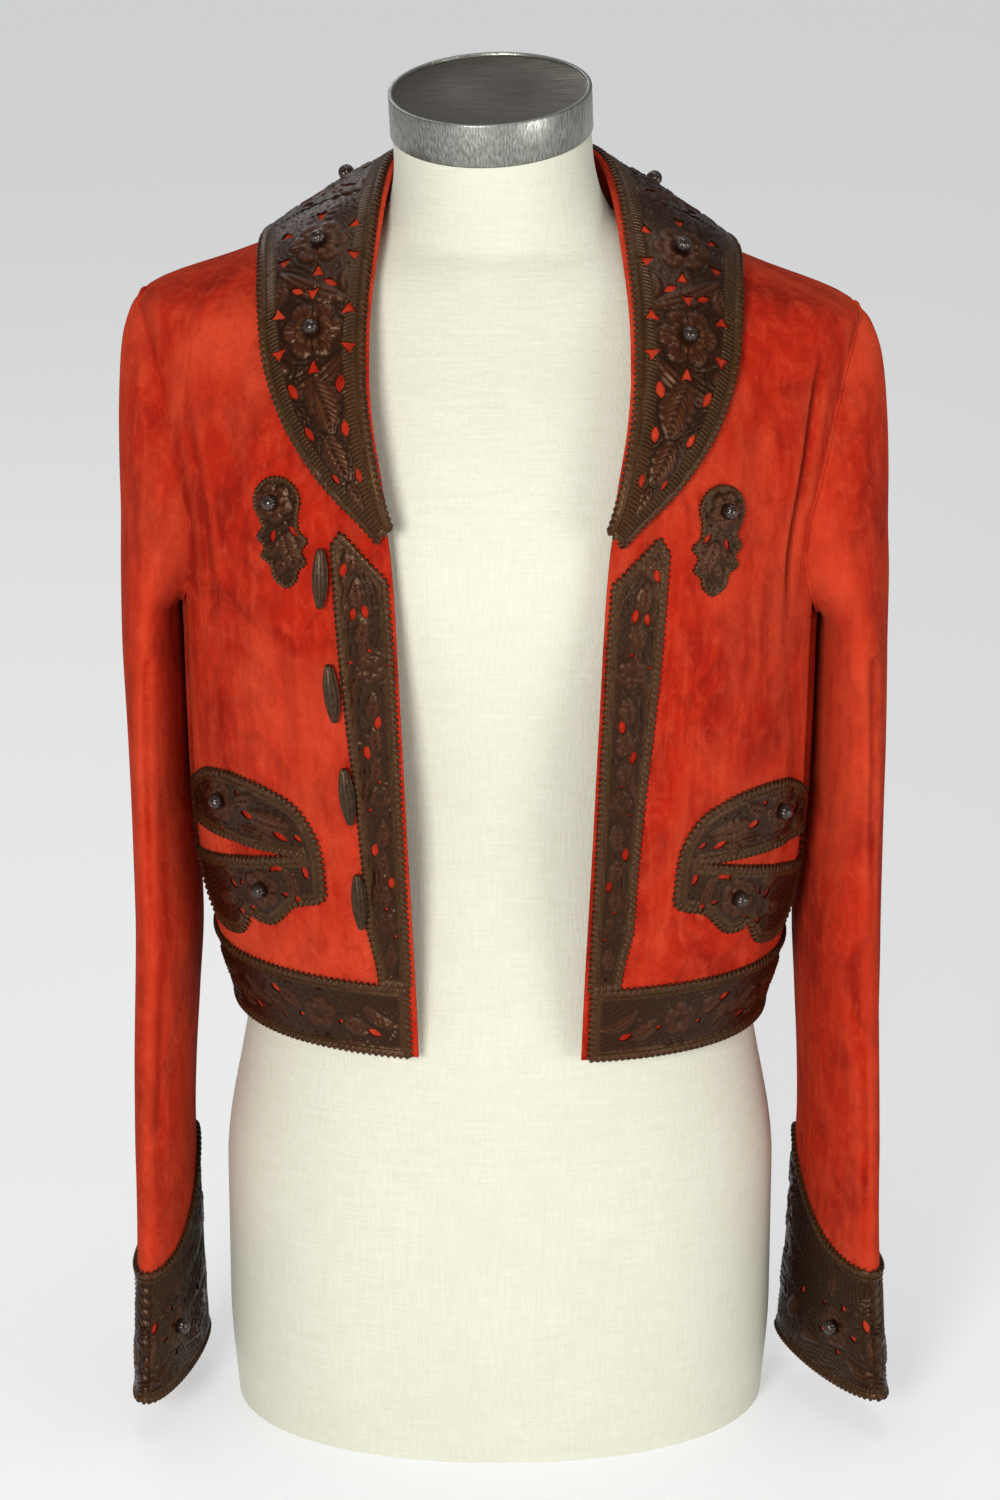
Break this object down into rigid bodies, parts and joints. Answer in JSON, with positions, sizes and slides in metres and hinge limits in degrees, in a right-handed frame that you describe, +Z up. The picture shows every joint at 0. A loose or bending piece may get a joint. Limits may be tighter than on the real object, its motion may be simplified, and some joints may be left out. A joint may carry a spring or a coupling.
{
  "type": "suede jacket on a limbless dress form",
  "caption": "Short open suede jacket with a shawl collar, openwork leather bands, pockets and cuffs, worn by a limbless linen dress form with a steel neck cap.",
  "frame": {"origin": "middle of the dress form's flat underside", "axes": "+Z up, the jacket's front faces -Y, +X is the wearer's left"},
  "size_m": [0.4448, 0.2567, 0.798],
  "materials": {
    "suede": "brushed suede nap, aniline dyed red orange",
    "tooled_leather": "vegetable tanned, carved and tooled, dark brown antique stain, satin",
    "rolled_leather": "rolled and laced, dark brown, satin",
    "knob": "leather covered, burnished, glossy",
    "linen": "plain woven linen, ivory",
    "brushed_steel": "fine brushed stainless steel"
  },
  "bodies": {
    "root": {"front_left": "suede", "front_right": "suede", "back": "suede", "sleeve_left": "suede", "sleeve_right": "suede", "undercollar": "suede", "collar_stand": "suede", "collar_leather_left": "tooled_leather", "collar_knob_left_1": "knob", "collar_knob_left_2": "knob", "collar_knob_left_3": "knob", "collar_leather_right": "tooled_leather", "collar_knob_right_1": "knob", "collar_knob_right_2": "knob", "collar_knob_right_3": "knob", "hem_band_left": "tooled_leather", "hem_band_right": "tooled_leather", "hem_band_back": "tooled_leather", "front_band_left": "tooled_leather", "pocket_leather_left": "tooled_leather", "pocket_knob_left_1": "knob", "pocket_knob_left_2": "knob", "breast_leaf_left": "tooled_leather", "breast_knob_left": "knob", "front_band_right": "tooled_leather", "pocket_leather_right": "tooled_leather", "pocket_knob_right_1": "knob", "pocket_knob_right_2": "knob", "breast_leaf_right": "tooled_leather", "breast_knob_right": "knob", "toggle_1": "rolled_leather", "toggle_2": "rolled_leather", "toggle_3": "rolled_leather", "toggle_4": "rolled_leather", "cuff_outer_left": "tooled_leather", "cuff_knob_outer_left": "knob", "cuff_inner_left": "tooled_leather", "cuff_knob_inner_left": "knob", "cuff_outer_right": "tooled_leather", "cuff_knob_outer_right": "knob", "cuff_inner_right": "tooled_leather", "cuff_knob_inner_right": "knob", "form_body": "linen", "neck_cap": "brushed_steel"}
  },
  "joints": []
}
